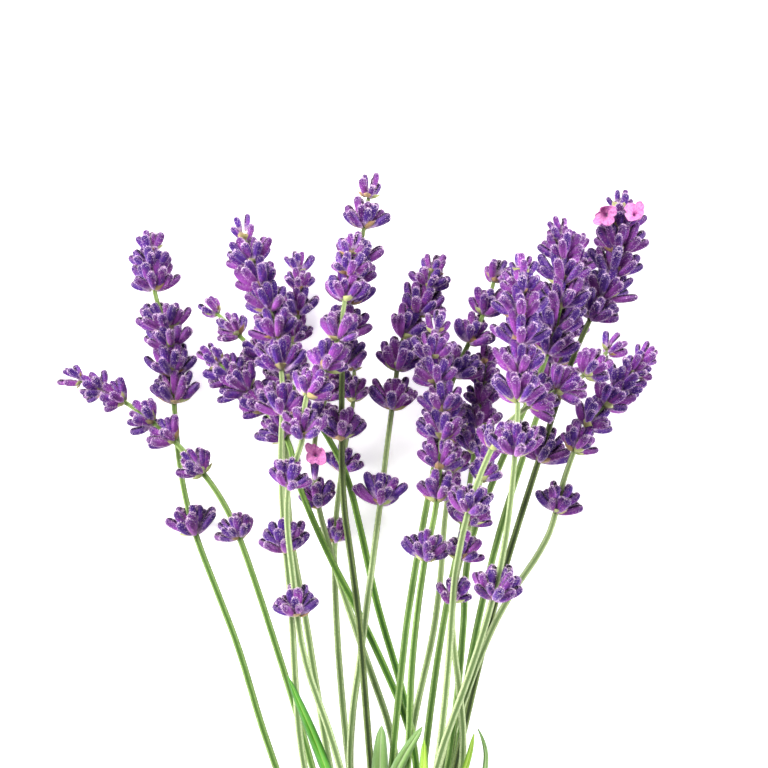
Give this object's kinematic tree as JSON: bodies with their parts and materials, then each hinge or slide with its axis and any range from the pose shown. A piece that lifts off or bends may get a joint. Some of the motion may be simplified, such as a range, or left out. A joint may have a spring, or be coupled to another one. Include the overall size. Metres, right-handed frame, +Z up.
{
  "type": "bunch of lavender",
  "caption": "Tied bunch of lavender lying on its side: fanned thin stems with violet whorled flower heads, narrow leaves, open pink flowers and a twine tie.",
  "frame": {"origin": "under the middle of the bounding box, on the surface that the bunch lies on", "axes": "+Y along the bunch from the cut ends to the flower tips, +X across the fan, +Z up from the surface"},
  "size_m": [0.1488, 0.281, 0.0564],
  "materials": {
    "stem_pale": "pale grey-green, finely downy, four-angled with ribs",
    "stem_mid": "medium green, finely downy",
    "stem_vivid": "vivid green, slightly waxy",
    "stem_dark": "dark olive green",
    "flower_head": "velvety ribbed violet calyces with pale lilac down on yellow-green bracts",
    "open_flower": "thin pink corolla",
    "leaf_bright": "bright green leaf, smooth, with a pale midrib",
    "leaf_sage": "sage green leaf with grey down",
    "leaf_young": "young yellow-green leaf",
    "twine": "plain twisted jute twine"
  },
  "bodies": {
    "root": {"stem_01": "stem_mid", "flower_head_01": "flower_head", "stem_02": "stem_pale", "flower_head_02": "flower_head", "stem_03": "stem_pale", "flower_head_03": "flower_head", "stem_04": "stem_pale", "flower_head_04": "flower_head", "stem_05": "stem_vivid", "flower_head_05": "flower_head", "stem_06": "stem_mid", "flower_head_06": "flower_head", "stem_07": "stem_mid", "flower_head_07": "flower_head", "stem_08": "stem_pale", "flower_head_08": "flower_head", "stem_09": "stem_vivid", "flower_head_09": "flower_head", "stem_10": "stem_mid", "flower_head_10": "flower_head", "stem_11": "stem_dark", "flower_head_11": "flower_head", "stem_12": "stem_mid", "flower_head_12": "flower_head", "stem_13": "stem_pale", "flower_head_13": "flower_head", "stem_14": "stem_mid", "flower_head_14": "flower_head", "stem_15": "stem_pale", "flower_head_15": "flower_head", "stem_16": "stem_pale", "flower_head_16": "flower_head", "stem_17": "stem_pale", "flower_head_17": "flower_head", "stem_18": "stem_dark", "flower_head_18": "flower_head", "stem_19": "stem_mid", "flower_head_19": "flower_head", "stem_20": "stem_pale", "flower_head_20": "flower_head", "stem_21": "stem_pale", "flower_head_21": "flower_head", "stem_22": "stem_pale", "flower_head_22": "flower_head", "open_flower_1": "open_flower", "open_flower_2": "open_flower", "open_flower_3": "open_flower", "leaf_1": "leaf_bright", "leaf_2": "leaf_sage", "leaf_3": "leaf_sage", "leaf_4": "leaf_young", "leaf_5": "leaf_young", "leaf_6": "leaf_sage", "twine_tie": "twine", "twine_knot": "twine"}
  },
  "joints": []
}
